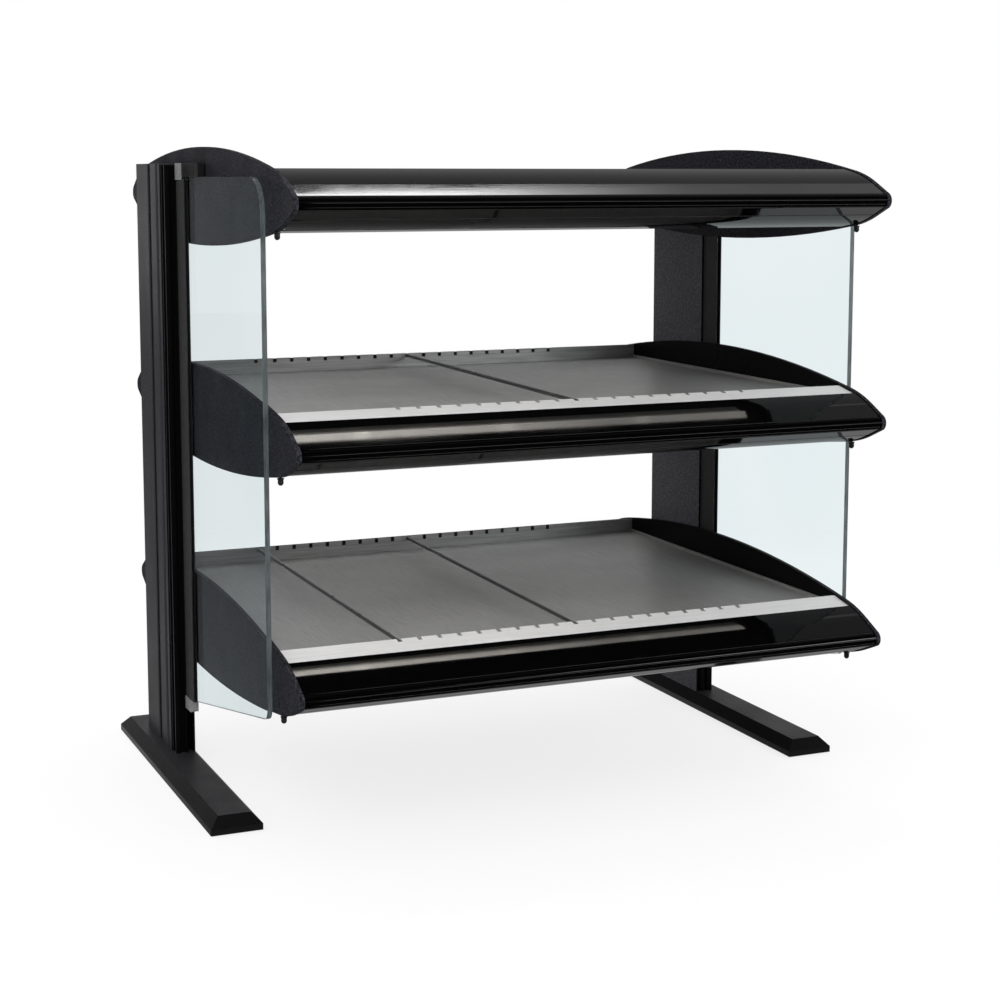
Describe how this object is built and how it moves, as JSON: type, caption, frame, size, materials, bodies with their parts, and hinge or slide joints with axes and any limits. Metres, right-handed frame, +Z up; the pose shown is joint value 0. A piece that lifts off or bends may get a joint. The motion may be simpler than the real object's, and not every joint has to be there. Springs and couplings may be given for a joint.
{
  "type": "heated merchandiser",
  "caption": "Countertop heated display stand: a canopy and level heated shelves with notched lips between fluted posts on long feet, with glass ends.",
  "frame": {"origin": "on the counter, under the middle of the whole object", "axes": "+X to the right as a customer faces it, +Y away from the customer, +Z up"},
  "size_m": [0.869, 0.762, 0.82],
  "materials": {
    "textured_black": "fine textured charcoal powder coat",
    "post_black": "satin black anodised extrusion",
    "gloss_black": "gloss black coating on extrusion",
    "sheet_black": "satin black coated sheet",
    "cover_steel": "satin dark coated sheet",
    "pan_metal": "hard-coated satin aluminium",
    "rod_steel": "bright drawn wire",
    "screw_steel": "dark plated steel",
    "clamp_metal": "satin clear-anodised block",
    "glass": "clear toughened glass with polished edges",
    "lens": "frosted lens",
    "lamp_glass": "frosted lamp glass",
    "rubber": "matt black rubber",
    "mat_rubber": "red-brown silicone",
    "insulation": "pressed mineral fibre board",
    "reflector_metal": "bright reflector sheet",
    "element_sheath": "heat-tinted sheath",
    "ceramic": null,
    "clip_plastic": "satin black plastic",
    "control_plastic": "satin black plastic",
    "shaft_steel": "turned steel",
    "pilot_red": "clear red lens"
  },
  "bodies": {
    "frame": {"acorn_screws": "screw_steel", "canopy_element_guard": "rod_steel", "canopy_front_fascia": "gloss_black", "canopy_heater_cover": "cover_steel", "canopy_heater_element": "element_sheath", "canopy_lamp_lens": "lens", "canopy_left_end_cap": "textured_black", "canopy_rear_panel": "sheet_black", "canopy_reflector": "reflector_metal", "canopy_right_end_cap": "textured_black", "canopy_top_cover": "sheet_black", "display_lamps": "lamp_glass", "end_cap_bolts": "screw_steel", "foot_pads": "rubber", "foot_screws": "screw_steel", "glass_clamps": "clamp_metal", "glass_clips": "clip_plastic", "glass_gaskets": "rubber", "lamp_holders": "ceramic", "left_foot": "textured_black", "left_glass": "glass", "left_post": "post_black", "lower_bottom_cover": "sheet_black", "lower_front_fascia": "gloss_black", "lower_heating_mat": "mat_rubber", "lower_insulation": "insulation", "lower_left_end_cap": "textured_black", "lower_pan": "pan_metal", "lower_rear_panel": "sheet_black", "lower_right_end_cap": "textured_black", "lower_thermostat": "control_plastic", "pilot_lights": "pilot_red", "post_caps": "post_black", "power_inlet": "control_plastic", "right_foot": "textured_black", "right_glass": "glass", "right_post": "post_black", "switch_housings": "control_plastic", "upper_element_guard": "rod_steel", "upper_front_fascia": "gloss_black", "upper_heater_cover": "cover_steel", "upper_heater_element": "element_sheath", "upper_heating_mat": "mat_rubber", "upper_insulation": "insulation", "upper_lamp_lens": "lens", "upper_left_end_cap": "textured_black", "upper_pan": "pan_metal", "upper_rear_panel": "sheet_black", "upper_reflector": "reflector_metal", "upper_right_end_cap": "textured_black", "upper_thermostat": "control_plastic"},
    "upper_divider": {"upper_divider_rod": "rod_steel"},
    "lower_centre_divider": {"lower_centre_divider_rod": "rod_steel"},
    "lower_left_divider": {"lower_left_divider_rod": "rod_steel"},
    "upper_knob": {"upper_thermostat_knob": "control_plastic", "upper_thermostat_shaft": "shaft_steel"},
    "lower_knob": {"lower_thermostat_knob": "control_plastic", "lower_thermostat_shaft": "shaft_steel"},
    "heat_rocker": {"heat_switch_rocker": "control_plastic"},
    "light_rocker": {"light_switch_rocker": "control_plastic"}
  },
  "joints": [
    {"name": "upper_divider_lift", "type": "slide", "parent": "frame", "child": "upper_divider", "axis": [0, 0, 1], "range_m": [0, 0.06]},
    {"name": "lower_centre_divider_lift", "type": "slide", "parent": "frame", "child": "lower_centre_divider", "axis": [0, 0, 1], "range_m": [0, 0.06]},
    {"name": "lower_left_divider_lift", "type": "slide", "parent": "frame", "child": "lower_left_divider", "axis": [0, 0, 1], "range_m": [0, 0.06]},
    {"name": "upper_thermostat_turn", "type": "hinge", "parent": "frame", "child": "upper_knob", "pos_m": [0.21, 0.3, 0.48], "axis": [0, -1, 0], "range_deg": [0, 270]},
    {"name": "lower_thermostat_turn", "type": "hinge", "parent": "frame", "child": "lower_knob", "pos_m": [0.21, 0.3, 0.206], "axis": [0, -1, 0], "range_deg": [0, 270]},
    {"name": "heat_switch_press", "type": "hinge", "parent": "frame", "child": "heat_rocker", "pos_m": [0.2, 0.297, 0.758], "axis": [1, 0, 0], "range_deg": [0, 20]},
    {"name": "light_switch_press", "type": "hinge", "parent": "frame", "child": "light_rocker", "pos_m": [0.245, 0.297, 0.758], "axis": [1, 0, 0], "range_deg": [0, 20]}
  ]
}
